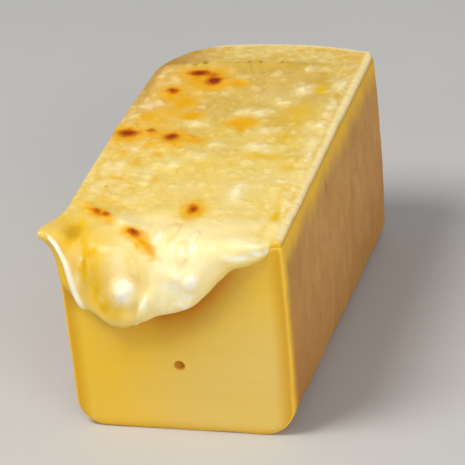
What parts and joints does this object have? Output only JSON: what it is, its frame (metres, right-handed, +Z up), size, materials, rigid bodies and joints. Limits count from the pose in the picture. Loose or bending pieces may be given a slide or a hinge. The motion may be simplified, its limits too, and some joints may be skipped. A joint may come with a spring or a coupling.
{
  "type": "raclette cheese block",
  "caption": "Block of semi-hard cheese with rind on its sides, back and base, a smooth cut face, and a browned, melted top that runs over the front edge in a broad tongue.",
  "frame": {"origin": "on the flat resting base, under the middle of the block", "axes": "+Z up; the cut front face and the melted tongue look along -Y; the block's length runs along Y; +X is to the right of someone facing the cut face"},
  "size_m": [0.0757, 0.1534, 0.066],
  "materials": {
    "cheese": "smooth satin paste, golden yellow and slightly translucent",
    "rind": "dry tan rind with a pale bloom and upright streaks",
    "melt": "melted cream to pale yellow skin, glossy, with browned spots"
  },
  "bodies": {
    "root": {"cheese_block": "cheese"}
  },
  "joints": []
}
